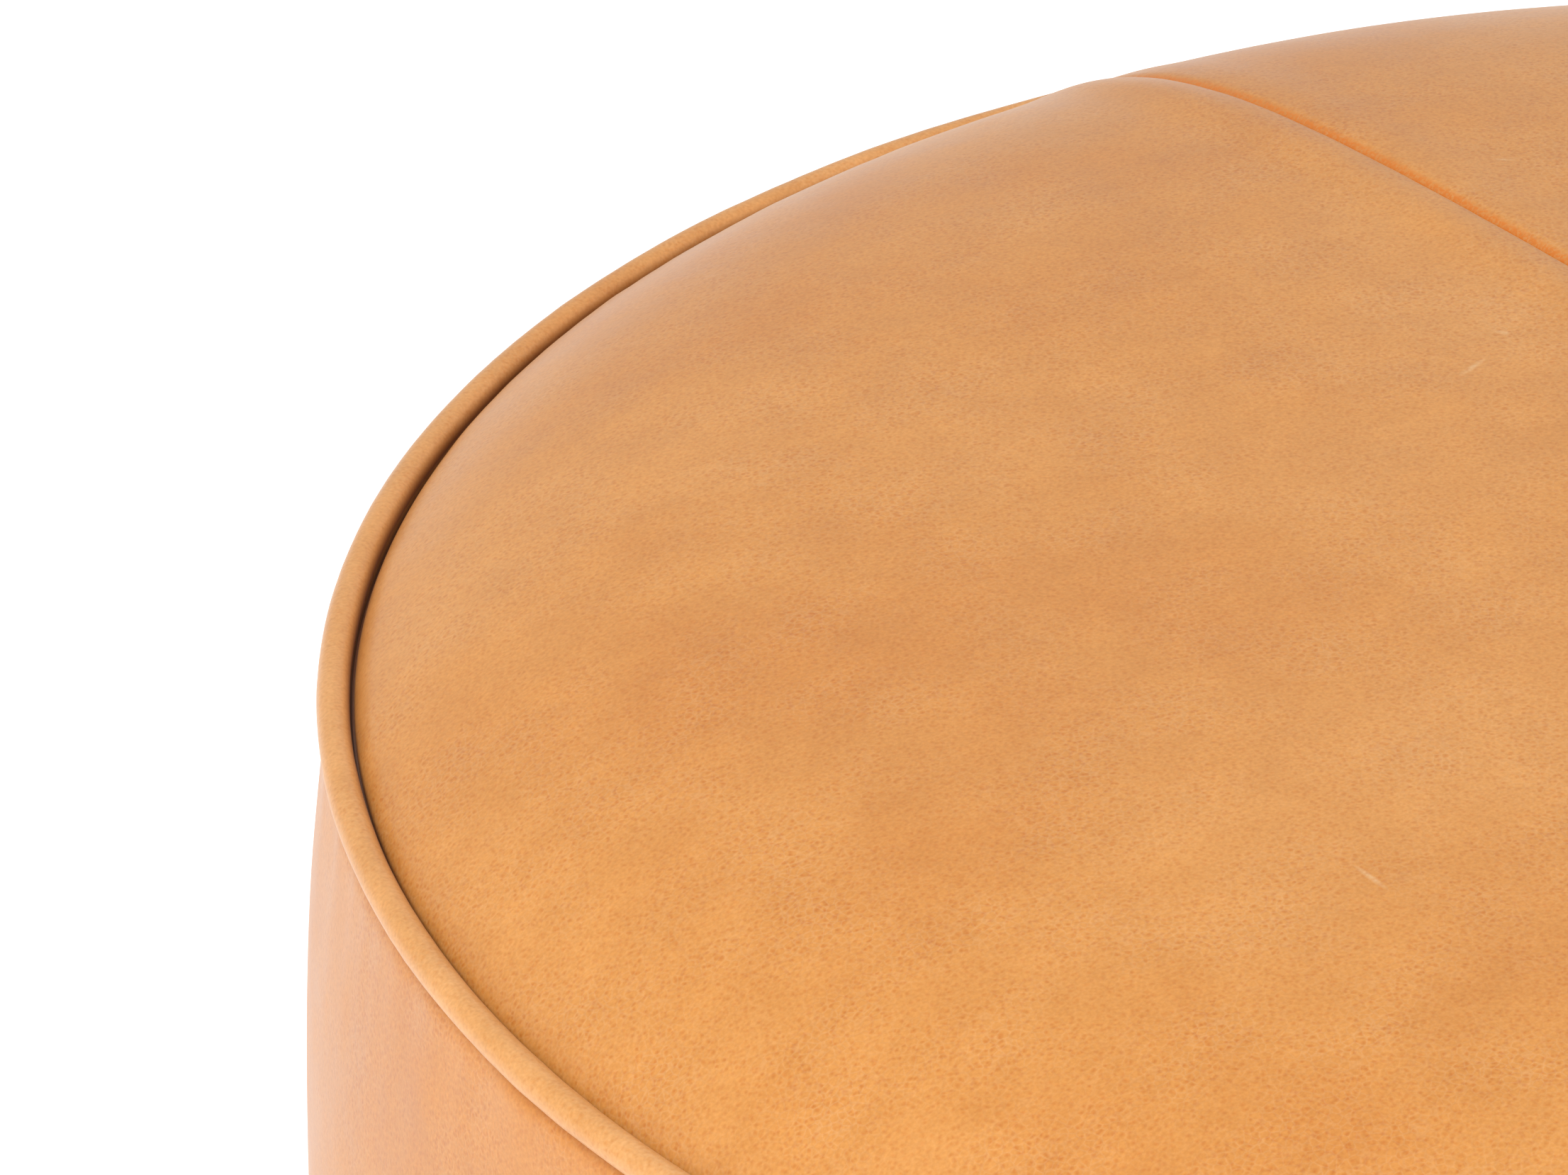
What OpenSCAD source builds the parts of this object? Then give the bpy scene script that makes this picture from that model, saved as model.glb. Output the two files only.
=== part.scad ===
// Round leather pouf: a domed top of two half panels, a bulging side band of three panels,
// a leather-wrapped welt round each rim, a two-part base closed by a zip, and a stuffed
// inner cushion. The frame's origin is the middle of the base, on the floor, with +Z up.
// The top seam and the zip both run along Y.

/* [Overall size] */
// Radius of each welt, to its cord's centre line
rim_r = 300; // [280:5:320]
// Height of the side band, between the two welts' centre lines
band_h = 240; // [220:5:260]
// How far the side band bulges out past the welts
band_bulge = 7.5; // [6:0.5:12]
// Height of the crown over its broad, shallow part
crown_dome_h = 10.5; // [8:0.5:16]
// Height that the crown gains over its rounded shoulder
crown_shoulder_h = 31.5; // [24:0.5:36]
// Height of the lower welt's centre line above the floor
base_lift = 9; // [8.5:0.5:12]

/* [Leather and seams] */
// Thickness of the leather
leather_t = 1.2; // [1.0:0.1:1.3]
// Width of the turned-in edge along a plain seam
turn_in = 10; // [8:1:12]
// Gap between the two panels at a plain seam
seam_gap = 0.2; // [0.1:0.1:0.3]
// Length of the rim seam's allowance, inwards from the welt
rim_allowance = 8; // [6:1:8]
// Diameter of the sewing thread
thread_d = 0.6; // [0.5:0.1:0.7]
// Direction of the side band's first seam, from +X
side_seam_turn = 185; // [180:0.2:200]

/* [Welt] */
// Outer radius of the wrapped welt
welt_r = 3.3; // [3.2:0.1:3.6]
// Radius of the welt's cord
cord_r = 2; // [1.8:0.1:2]

/* [Zip] */
// Half the length of the zip's opening
zip_half = 210; // [180:10:220]
// Height of the recess that keeps the zip off the floor
zip_rise = 8; // [7.8:0.1:8.4]
// Half the width of the opening between the folded edges
zip_opening = 7; // [6.8:0.1:8]
// Length of the pull tab, from its hinge
pull_len = 32; // [24:1:34]
// Angle that the pull tab droops below level
pull_droop = 8; // [5:1:8]

/* [Cushion] */
// Thickness of the calico liner
calico_t = 0.8; // [0.5:0.1:1]
// Thickness of the wadding under the liner
wadding_t = 8; // [6:1:12]
// Depth of the crown's softer foam, from the top welt down
crown_foam_depth = 45; // [30:5:60]

/* [Hidden] */
$fn = 96;

leather = "#d9925a";
leather_dark = "#c9824c";
thread = "#b8753f";
calico = "#e9e2cf";
tape = "#8a6a4a";
metal = "#c9b27c";
foam = "#efe6b8";

// Heights of the two welts' centre lines
top_z = base_lift + band_h;
bottom_z = base_lift;
// The flange of a welt is two layers; each panel lies beside it with a hair's gap
flange_half = leather_t;
flange_gap = 0.05;
panel_side = flange_half + flange_gap;
flange_end = welt_r + rim_allowance;
// Where the crown and the base stop and turn into the rim seam
turn_r = rim_r - 5;
turn_z = 1.8;
// Radius to which the crown's formula runs, at the welt's inner side
crown_r = rim_r - welt_r;
crown_start_z = 0.9;
crown_power = 8;
// The base lies flat to here, and then curls up
base_flat_r = 220;
base_power = 24;
// The side band's arc
band_arc_r = (band_h * band_h / 4 + band_bulge * band_bulge) / (2 * band_bulge);
// Plain seams stop this far short of a rim
seam_clear = 16;
plain_seam_end = rim_r - 2 * seam_clear;
// The side seams, and the turned-in edge's angle beside each
side_count = 3;
side_step = 360 / side_count;
side_gap_turn = seam_gap / rim_r * 90 / PI;
turn_in_turn = turn_in / rim_r * 180 / PI;
// Depths of the plain seam's layers below the outer face
fold_depth = 2 * leather_t;
thread_depth = fold_depth + thread_d;
tape_t = 0.6;
seam_tape_w = 24;
// The recess in the base: a shelf beside the zip, and a slope out to the flat
shelf_half = 10;
recess_half = 34;
recess_sink = 1;
// The zip, from the folded leather up
zip_tape_z = zip_rise + fold_depth;
zip_mid_z = zip_tape_z + tape_t / 2;
zip_tape_w = 15;
coil_in = 0.8;
coil_out = 3.4;
coil_half_h = 1.5;
coil_slot = 1.4;
stop_len = 3;
coil_half = zip_half - 4;
stop_gap = 0.3;
stitch_x = zip_opening + 2;
// The slider
slider_len = 12;
slider_half_w = 5.8;
plate_t = 1;
plate_gap = 0.5;
rail_w = 1.2;
rail_gap = 0.3;
post_half_w = 0.5;
slider_y = coil_half - slider_len / 2 - 0.5;
plate_z = zip_mid_z - coil_half_h - plate_gap;
// The stops stand 0.2 mm proud of the gap between the slider's plates, so they catch it
stop_half_h = coil_half_h + plate_gap + 0.2;
// The pull and its pin
pin_r = 0.7;
pin_clearance = 0.08;
eye_r = 1.6;
eye_half_w = 1.5;
ear_in = 1.7;
ear_t = 1;
ear_r = 1.3;
pin_half = ear_in + ear_t + 0.3;
pin_z = plate_z - plate_t - eye_r - 0.2;
pull_t = 1.6;
pull_half_w = 4;
neck_len = 6;
// The cushion
cushion_gap = 4.4;
cushion_base_gap = 3.2;
top_corner_r = 70;
top_corner_start = 248;
base_corner_r = 60;
cushion_shelf_half = 20;
cushion_recess_half = 44;
cushion_shelf_z = zip_mid_z + coil_half_h + plate_gap + plate_t + 1.6;
liner_seam_drop = 15;
liner_seam_lift = 30;
layer_gap = 0.1;
far = 400;

// Outline tools. A path runs with the piece's inside on its right hand.
function unit(v) = v / norm(v);
function right_of(v) = [v[1], -v[0]];
function leg(path, i) = unit(path[i] - path[i - 1]);
function inset_point(path, i, d) =
    let (last = len(path) - 1,
         a = right_of(leg(path, max(i, 1))),
         b = right_of(leg(path, min(i + 1, last))),
         m = unit(a + b),
         p = path[i] + d * m / (m * a))
    [max(p[0], 0), p[1]];
function inset_path(path, d) = [for (i = [0:len(path) - 1]) inset_point(path, i, d)];
function flat_inset(path, d) = [for (p = path) [p[0], p[1] - d]];
function reversed(path) = [for (i = [len(path) - 1:-1:0]) path[i]];
function band(path, t) = concat(path, reversed(inset_path(path, t)));
function flat_band(path, t) = concat(path, reversed(flat_inset(path, t)));

// A point beside a welt. up is 1 at the top rim and -1 at the bottom one. along runs
// inwards down the seam's allowance, and across leans to the top or base panel.
function at_welt(z, up, along, across) =
    [rim_r - cos(45) * (along + across), z + up * cos(45) * (across - along)];

// Height of the crown above the top welt's centre line
function crown_z(r) =
    let (x = r / crown_r)
    crown_start_z + crown_dome_h * (1 - pow(x, 2)) + crown_shoulder_h * (1 - pow(x, crown_power));
function crown_slope(r) =
    let (x = r / crown_r)
    atan((2 * crown_dome_h * x + crown_power * crown_shoulder_h * pow(x, crown_power - 1)) / crown_r);
// Height of the base's outer face above the floor
function base_z(r) = r <= base_flat_r ? 0 : (bottom_z - turn_z) * pow(r / turn_r, base_power);
// Radius of the side band's outer face, s below the top welt
function band_r(s) =
    rim_r + band_bulge - band_arc_r + sqrt(pow(band_arc_r, 2) - pow(s - band_h / 2, 2));
// Height of the zip's recess, and of the cushion's recess above it
function recess_z(x, low, high, inner, outer) =
    abs(x) <= inner ? high
    : low + (high - low) * (0.5 + 0.5 * cos(180 * (abs(x) - inner) / (outer - inner)));

// Outer face of the crown, from its middle to where it turns into the rim seam
crown_radii = concat([for (r = [0:20:220]) r], [for (r = [235:10:285]) r]);
crown_path = concat([for (r = crown_radii) [r, top_z + crown_z(r)]],
                    [[turn_r, top_z + turn_z]]);
top_edge_path = [at_welt(top_z, 1, welt_r, panel_side), at_welt(top_z, 1, flange_end, panel_side)];
// The crown's straight section along the top seam
seam_radii = [for (r = crown_radii) if (r <= crown_r - 2 * seam_clear) r];
seam_path = [for (y = concat([for (i = [len(seam_radii) - 1:-1:1]) -seam_radii[i]], seam_radii))
             [y, top_z + crown_z(abs(y))]];
// Outer face of the side band between its two folds
band_path = concat([for (s = [4.2, 10]) [band_r(s), top_z - s]],
                   [for (s = [20:10:band_h - 20]) [band_r(s), top_z - s]],
                   [for (s = [band_h - 10, band_h - 4.2]) [band_r(s), top_z - s]]);
side_path = concat([at_welt(top_z, 1, flange_end, -panel_side), at_welt(top_z, 1, welt_r, -panel_side)],
                   band_path,
                   [at_welt(bottom_z, -1, welt_r, -panel_side),
                    at_welt(bottom_z, -1, flange_end, -panel_side)]);
band_mid_path = [for (p = band_path) if (p[1] < top_z - seam_clear && p[1] > bottom_z + seam_clear) p];
// Outer face of the base, from its flat part out to the fold, and the rim seam's fold itself
base_radii = concat([0, base_flat_r], [for (r = [230:10:280]) r]);
base_path = [for (r = base_radii) [r, base_z(r)]];
base_edge_path = concat([at_welt(bottom_z, -1, flange_end, panel_side),
                         at_welt(bottom_z, -1, welt_r, panel_side)],
                        [for (r = [turn_r, 290, 280]) [r, base_z(r)]]);
// Outer face of the cushion
top_corner = let (a = crown_slope(top_corner_start),
                  p = [top_corner_start, top_z + crown_z(top_corner_start) - cushion_gap])
             p - top_corner_r * [sin(a), cos(a)];
base_corner = [band_r(top_z - cushion_base_gap - base_corner_r) - cushion_gap - base_corner_r,
               cushion_base_gap + base_corner_r];
cushion_path = concat(
    [for (r = [0:20:240]) [r, top_z + crown_z(r) - cushion_gap]],
    [for (a = [crown_slope(top_corner_start):6:88]) top_corner + top_corner_r * [sin(a), cos(a)]],
    [for (z = [top_corner[1] - 5:-20:base_corner[1] + 5]) [band_r(top_z - z) - cushion_gap, z]],
    [for (a = [92:8:180]) base_corner + base_corner_r * [sin(a), cos(a)]],
    [[0, cushion_base_gap]]);

module half_space(side) {
    translate([side > 0 ? seam_gap / 2 : -far - seam_gap / 2, -far, -far])
        cube([far, 2 * far, 2 * far]);
}

// A box that is mirrored to the left for side = -1
module side_box(side, x0, x1, y0, y1, z0, z1) {
    translate([side > 0 ? x0 : -x1, y0, z0])
        cube([x1 - x0, y1 - y0, z1 - z0]);
}

// A strip that follows a path in the YZ plane, from x0 to x1
module lengthwise_strip(path, t, x0, x1) {
    translate([x0, 0, 0])
        rotate([90, 0, 90])
            linear_extrude(x1 - x0)
                polygon(flat_band(path, t));
}

// ---- Top ----

module top_panel(side) {
    color(leather)
        intersection() {
            union() {
                rotate_extrude()
                    polygon(band(concat(crown_path, top_edge_path), leather_t));
                lengthwise_strip(flat_inset(seam_path, leather_t - 0.2), leather_t + 0.2,
                                 side > 0 ? 0 : -turn_in, side > 0 ? turn_in : 0);
            }
            half_space(side);
        }
}

module top_seam_stitches() {
    color(thread)
        lengthwise_strip(flat_inset(seam_path, fold_depth), thread_d, -thread_d / 2, thread_d / 2);
}

module top_seam_tape() {
    color(tape)
        lengthwise_strip(flat_inset(seam_path, thread_depth), tape_t, -seam_tape_w / 2, seam_tape_w / 2);
}

// ---- Welts and rim seams ----

// Places a welt's section, with +X running inwards along its flange
module welt_section(z, up) {
    rotate_extrude()
        translate([rim_r, z])
            rotate(up > 0 ? 225 : 135)
                children();
}

module welt_cover(z, up) {
    color(leather)
        welt_section(z, up)
            difference() {
                union() {
                    circle(r = welt_r);
                    translate([0, -flange_half])
                        square([flange_end, 2 * flange_half]);
                }
                circle(r = welt_r - leather_t);
                translate([0, -flange_gap])
                    square([flange_end + 1, 2 * flange_gap]);
            }
}

module welt_cord(z, up) {
    color(calico)
        welt_section(z, up)
            circle(r = cord_r);
}

module rim_stitches(z, up) {
    color(thread)
        for (face = [-1, 1])
            welt_section(z, up)
                translate([welt_r + rim_allowance / 2,
                           face * (panel_side + leather_t + thread_d / 2)])
                    circle(d = thread_d);
}

// ---- Side band ----

module side_panel(index) {
    start = side_seam_turn + index * side_step + side_gap_turn;
    turn = side_step - 2 * side_gap_turn;
    color(leather)
        union() {
            rotate([0, 0, start])
                rotate_extrude(angle = turn)
                    polygon(band(side_path, leather_t));
            for (from = [start, start + turn - turn_in_turn])
                rotate([0, 0, from])
                    rotate_extrude(angle = turn_in_turn)
                        polygon(band(inset_path(band_mid_path, leather_t - 0.2), leather_t + 0.2));
        }
}

module side_seam_stitches() {
    turn = thread_d / rim_r * 180 / PI;
    color(thread)
        for (index = [0:side_count - 1])
            rotate([0, 0, side_seam_turn + index * side_step - turn / 2])
                rotate_extrude(angle = turn)
                    polygon(band(inset_path(band_mid_path, fold_depth), thread_d));
}

// ---- Base ----

// Everything above the base's outer face, raised by lift, with the recess for the zip.
// spread carries it outwards and upwards, so that it can cut a smaller one cleanly.
module above_base(lift, spread) {
    ceiling = 30;
    edge = 286 + spread;
    intersection() {
        translate([0, 0, lift])
            rotate_extrude()
                polygon(concat(base_path, [[edge, base_z(edge)], [edge, ceiling + spread],
                                           [0, ceiling + spread]]));
        above_recess(lift - recess_sink, zip_rise + lift, shelf_half, recess_half, 2 * ceiling);
    }
}

// A slab along Y whose underside has the recess's shape
module above_recess(low, high, inner, outer, ceiling) {
    half = concat([for (i = [0:12]) let (x = inner + (outer - inner) * i / 12)
                   [x, recess_z(x, low, high, inner, outer)]],
                  [[far, low]]);
    rotate([90, 0, 0])
        translate([0, 0, -far])
            linear_extrude(2 * far)
                polygon(concat([[-far, ceiling]],
                               [for (p = reversed(half)) [-p[0], p[1]]],
                               half,
                               [[far, ceiling]]));
}

module base_layer(from, to) {
    difference() {
        above_base(from, 0);
        above_base(to, 1);
    }
}

module base_panel(side) {
    color(leather_dark)
        difference() {
            intersection() {
                union() {
                    base_layer(0, leather_t);
                    rotate_extrude()
                        polygon(band(base_edge_path, leather_t));
                    // The edge turned in beside the plain seam, and beside the zip's opening
                    intersection() {
                        base_layer(leather_t - 0.2, fold_depth);
                        union() {
                            side_box(side, 0, turn_in, -plain_seam_end, plain_seam_end, -1, 30);
                            side_box(side, zip_opening - 1, zip_opening + turn_in,
                                     -zip_half, zip_half, -1, 30);
                        }
                    }
                }
                half_space(side);
            }
            side_box(side, -1, zip_opening, -zip_half, zip_half, -1, 30);
        }
}

module base_seam_stitches() {
    color(thread)
        for (y = [zip_half + 14, -plain_seam_end])
            translate([-thread_d / 2, y, zip_rise + fold_depth])
                cube([thread_d, plain_seam_end - zip_half - 14, thread_d]);
}

// ---- Zip ----

module zip_tape(side) {
    color(tape)
        side_box(side, coil_slot, zip_tape_w, -zip_half - 12, zip_half + 12, zip_tape_z, zip_tape_z + tape_t);
}

// A block clamped over the inner edge of one tape
module tape_clamp(side, y0, y1, half_h) {
    difference() {
        side_box(side, coil_in, coil_out, y0, y1, zip_mid_z - half_h, zip_mid_z + half_h);
        side_box(side, coil_slot, coil_out + 1, y0 - 1, y1 + 1, zip_tape_z - 0.02, zip_tape_z + tape_t + 0.02);
    }
}

module zip_coil(side) {
    color(tape)
        tape_clamp(side, -coil_half, coil_half, coil_half_h);
}

module zip_top_stops() {
    color(metal)
        for (side = [-1, 1])
            tape_clamp(side, coil_half + stop_gap, coil_half + stop_gap + stop_len, stop_half_h);
}

module zip_bottom_stop() {
    y = -coil_half - stop_gap - stop_len;
    color(metal)
        union() {
            for (side = [-1, 1])
                tape_clamp(side, y, y + stop_len, stop_half_h);
            translate([-coil_in - 0.1, y, zip_mid_z - stop_half_h])
                cube([2 * coil_in + 0.2, stop_len, 2 * stop_half_h]);
        }
}

module zip_stitches(side) {
    color(thread)
        for (z = [zip_rise - thread_d / 2, zip_tape_z + tape_t + thread_d / 2])
            translate([side * stitch_x, zip_half, z])
                rotate([90, 0, 0])
                    cylinder(h = 2 * zip_half, d = thread_d, $fn = 24);
}

// A plate of the slider with a guide rail along each side
module slider_plate(z, rail_z, rail_h) {
    translate([-slider_half_w, -slider_len / 2, z])
        cube([2 * slider_half_w, slider_len, plate_t]);
    for (side = [-1, 1])
        side_box(side, slider_half_w - rail_w, slider_half_w, -slider_len / 2, slider_len / 2,
                 rail_z, rail_z + rail_h);
}

module zip_slider() {
    upper_z = zip_mid_z + coil_half_h + plate_gap;
    lower_rail_top = zip_tape_z - rail_gap;
    upper_rail_foot = zip_tape_z + tape_t + rail_gap;
    color(metal)
        translate([0, slider_y, 0])
            difference() {
                union() {
                    slider_plate(plate_z - plate_t, plate_z, lower_rail_top - plate_z);
                    slider_plate(upper_z, upper_rail_foot, upper_z - upper_rail_foot);
                    translate([-post_half_w, -slider_len / 4, plate_z])
                        cube([2 * post_half_w, slider_len / 2, upper_z - plate_z]);
                    for (side = [-1, 1]) {
                        side_box(side, ear_in, ear_in + ear_t, -ear_r, ear_r, pin_z, plate_z - plate_t);
                        translate([side > 0 ? ear_in : -ear_in - ear_t, 0, pin_z])
                            rotate([0, 90, 0])
                                cylinder(r = ear_r, h = ear_t);
                    }
                }
                translate([-pin_half - 1, 0, pin_z])
                    rotate([0, 90, 0])
                        cylinder(r = pin_r, h = 2 * pin_half + 2);
            }
}

module zip_pull_pin() {
    color(metal)
        translate([-pin_half, slider_y, pin_z])
            rotate([0, 90, 0])
                cylinder(r = pin_r, h = 2 * pin_half);
}

module zip_pull() {
    color(metal)
        translate([0, slider_y, pin_z])
            rotate([pull_droop, 0, 0])
                difference() {
                    union() {
                        translate([-eye_half_w, 0, 0])
                            rotate([0, 90, 0])
                                cylinder(r = eye_r, h = 2 * eye_half_w);
                        translate([-eye_half_w, -neck_len, -pull_t / 2])
                            cube([2 * eye_half_w, neck_len, pull_t]);
                        translate([-pull_half_w, -pull_len + pull_half_w, -pull_t / 2])
                            cube([2 * pull_half_w, pull_len - pull_half_w - neck_len + 1, pull_t]);
                        translate([0, -pull_len + pull_half_w, -pull_t / 2])
                            cylinder(r = pull_half_w, h = pull_t);
                    }
                    translate([-eye_half_w - 1, 0, 0])
                        rotate([0, 90, 0])
                            cylinder(r = pin_r + pin_clearance, h = 2 * eye_half_w + 2);
                    translate([0, -pull_len + pull_half_w, -pull_t])
                        cylinder(r = pull_half_w / 2, h = 2 * pull_t);
                }
}

// ---- Cushion ----

// The cushion's whole body, inset by depth
module cushion_body(depth) {
    intersection() {
        rotate_extrude()
            polygon(inset_path(cushion_path, depth));
        above_recess(cushion_base_gap - recess_sink + depth, cushion_shelf_z + depth,
                     cushion_shelf_half, cushion_recess_half, 2 * far);
    }
}

module cushion_shell(from, to) {
    difference() {
        cushion_body(from);
        cushion_body(to);
    }
}

module slab(z0, z1) {
    translate([-far, -far, z0])
        cube([2 * far, 2 * far, z1 - z0]);
}

module liner(z0, z1) {
    color(calico)
        intersection() {
            cushion_shell(0, calico_t);
            slab(z0, z1);
        }
}

module liner_top() {
    liner(top_z - liner_seam_drop, 2 * far);
}

module liner_side() {
    liner(bottom_z + liner_seam_lift, top_z - liner_seam_drop - layer_gap);
}

module liner_base() {
    liner(-far, bottom_z + liner_seam_lift - layer_gap);
}

module wadding_wrap() {
    color("white")
        cushion_shell(calico_t + layer_gap, calico_t + wadding_t);
}

module foam_block(z0, z1) {
    color(foam)
        intersection() {
            cushion_body(calico_t + wadding_t + layer_gap);
            slab(z0, z1);
        }
}

top_panel(-1);  // top_panel_left
top_panel(1);  // top_panel_right
top_seam_stitches();
top_seam_tape();
welt_cover(top_z, 1);  // top_welt_cover
welt_cord(top_z, 1);  // top_welt_cord
rim_stitches(top_z, 1);  // top_rim_stitches
side_panel(0);  // side_panel_1
side_panel(1);  // side_panel_2
side_panel(2);  // side_panel_3
side_seam_stitches();
welt_cover(bottom_z, -1);  // bottom_welt_cover
welt_cord(bottom_z, -1);  // bottom_welt_cord
rim_stitches(bottom_z, -1);  // bottom_rim_stitches
base_panel(-1);  // base_panel_left
base_panel(1);  // base_panel_right
base_seam_stitches();
zip_tape(-1);  // zip_tape_left
zip_tape(1);  // zip_tape_right
zip_coil(-1);  // zip_coil_left
zip_coil(1);  // zip_coil_right
zip_top_stops();
zip_bottom_stop();
zip_stitches(-1);  // zip_stitches_left
zip_stitches(1);  // zip_stitches_right
zip_slider();
zip_pull_pin();
zip_pull();
liner_top();
liner_side();
liner_base();
wadding_wrap();
foam_block(top_z - crown_foam_depth, 2 * far);  // crown_foam
foam_block(-far, top_z - crown_foam_depth - layer_gap);  // core_foam
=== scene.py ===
"""A round leather pouf: the looks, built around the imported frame. Metres throughout."""
import math
import random

import bmesh
import bpy
from mathutils import Matrix, Vector, noise


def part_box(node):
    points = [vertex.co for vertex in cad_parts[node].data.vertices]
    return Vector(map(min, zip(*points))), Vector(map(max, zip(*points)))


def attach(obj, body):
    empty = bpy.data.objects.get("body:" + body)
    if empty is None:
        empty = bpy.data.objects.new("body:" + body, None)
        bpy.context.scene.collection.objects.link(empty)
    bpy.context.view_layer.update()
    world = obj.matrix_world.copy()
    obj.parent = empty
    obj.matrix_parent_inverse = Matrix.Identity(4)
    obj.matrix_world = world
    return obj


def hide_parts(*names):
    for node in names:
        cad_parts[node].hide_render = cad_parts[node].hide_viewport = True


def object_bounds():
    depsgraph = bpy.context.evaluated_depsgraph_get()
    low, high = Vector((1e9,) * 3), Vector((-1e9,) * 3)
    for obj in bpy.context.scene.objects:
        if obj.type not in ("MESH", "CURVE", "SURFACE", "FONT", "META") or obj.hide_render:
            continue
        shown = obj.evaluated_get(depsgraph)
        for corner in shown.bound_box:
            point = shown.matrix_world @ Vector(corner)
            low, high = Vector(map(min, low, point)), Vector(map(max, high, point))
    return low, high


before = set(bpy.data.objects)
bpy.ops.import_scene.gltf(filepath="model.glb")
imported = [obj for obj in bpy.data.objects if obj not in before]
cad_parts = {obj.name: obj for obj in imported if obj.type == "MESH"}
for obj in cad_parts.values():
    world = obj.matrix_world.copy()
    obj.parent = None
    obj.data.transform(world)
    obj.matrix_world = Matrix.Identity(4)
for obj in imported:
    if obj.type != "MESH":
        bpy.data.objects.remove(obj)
cad_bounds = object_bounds()

MM = 0.001


# ---- Driving sizes, read from the frame ----

def span(node, axis):
    """The lowest and highest value of a node's box along one axis."""
    low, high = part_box(node)
    return low[axis], high[axis]


CORD_LOW, CORD_HIGH = span("top_welt_cord", 2)
CORD_R = (CORD_HIGH - CORD_LOW) / 2
RIM_R = span("top_welt_cord", 0)[1] - CORD_R
TOP_Z = (CORD_LOW + CORD_HIGH) / 2
BOTTOM_Z = sum(span("bottom_welt_cord", 2)) / 2
WELT_R = span("top_welt_cover", 2)[1] - TOP_Z
BAND_H = TOP_Z - BOTTOM_Z
BAND_BULGE = cad_bounds[1][0] - RIM_R
CROWN_TOP = span("top_panel_left", 2)[1]
LEATHER_T = 1.2 * MM
SEAM_GAP = 0.1 * MM

CROWN_R = RIM_R - WELT_R
PANEL_R = CROWN_R - 0.6 * MM
CROWN_START = 0.9 * MM
CROWN_DOME = 10.5 * MM
CROWN_SHOULDER = CROWN_TOP - TOP_Z - CROWN_START - CROWN_DOME
CROWN_POWER = 8

BASE_FLAT_R = 220 * MM
BASE_EDGE_R = RIM_R - 5 * MM
BASE_POWER = 24
RECESS_SHELF = 10 * MM
RECESS_HALF = 34 * MM
RECESS_RISE = span("zip_tape_left", 2)[0] - 2 * LEATHER_T
ZIP_HALF = span("zip_stitches_left", 1)[1]
ZIP_OPENING = 7 * MM

SIDE_SEAM_TURN = math.radians(185)
SIDE_COUNT = 3


# ---- Small tools ----

def linear(hex_colour):
    """An sRGB hex colour as the linear values that a shader socket holds."""
    values = []
    for i in (1, 3, 5):
        c = int(hex_colour[i:i + 2], 16) / 255
        values.append(c / 12.92 if c <= 0.04045 else ((c + 0.055) / 1.055) ** 2.4)
    return (*values, 1)


def darker(hex_colour, share):
    """A share of an sRGB hex colour's light, as linear values."""
    return tuple(share * part for part in linear(hex_colour)[:3]) + (1,)


def smoothstep(x):
    x = min(max(x, 0.0), 1.0)
    return x * x * (3 - 2 * x)


def wander(point, size, seed=0.0):
    """Smooth noise from -1 to 1 whose lumps are about size across."""
    return noise.noise(Vector(point) / size + Vector((seed, seed * 1.7, -seed)))


def mesh_object(name, verts, faces, smooth=True):
    mesh = bpy.data.meshes.new(name)
    mesh.from_pydata(verts, [], faces)
    mesh.validate()
    if smooth:
        mesh.shade_smooth()
    piece = bpy.data.objects.new(name, mesh)
    bpy.context.scene.collection.objects.link(piece)
    return piece


def face_outwards(piece):
    bm = bmesh.new()
    bm.from_mesh(piece.data)
    bmesh.ops.recalc_face_normals(bm, faces=bm.faces)
    bm.to_mesh(piece.data)
    bm.free()


def apply_modifiers(piece):
    """Replaces a piece's mesh by its evaluated one and drops the modifiers."""
    evaluated = piece.evaluated_get(bpy.context.evaluated_depsgraph_get())
    mesh = bpy.data.meshes.new_from_object(evaluated)
    piece.modifiers.clear()
    piece.data = mesh


def give_thickness(piece, thickness):
    """Turns a one-sided leather face into a closed skin, thickened to the inside."""
    shell = piece.modifiers.new("thickness", "SOLIDIFY")
    shell.thickness = thickness
    shell.offset = -1
    apply_modifiers(piece)


def finish_piece(piece, body, material, slot, *nodes):
    """Gives a piece its material and its body, and hides the CAD nodes that it stands for."""
    piece.data.materials.clear()
    piece.data.materials.append(material)
    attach(piece, body)
    if nodes:
        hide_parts(*nodes)
    return piece


# ---- Node helper ----

def add_node(tree, kind, inputs=None, stops=(), **settings):
    """Adds a node with its settings. inputs holds, by socket name or number, a value or the
    output that drives it. stops are a colour ramp's (position, colour) pairs."""
    node = tree.nodes.new(kind)
    for key, value in settings.items():
        setattr(node, key, value)
    for key, value in (inputs or {}).items():
        if isinstance(value, bpy.types.NodeSocket):
            tree.links.new(value, node.inputs[key])
        else:
            node.inputs[key].default_value = value
    for index, (position, colour) in enumerate(stops):
        element = node.color_ramp.elements[index] if index < 2 else node.color_ramp.elements.new(1)
        element.position = position
        element.color = colour
    return node


def new_material(name):
    material = bpy.data.materials.new(name)
    material.use_nodes = True
    tree = material.node_tree
    return material, tree, tree.nodes["Principled BSDF"]


# ---- Materials ----

# A colour Mix node's sockets, by number: its factor, its two colours, and its result
FACTOR, COLOUR_A, COLOUR_B, MIXED = 0, 6, 7, 2


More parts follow.
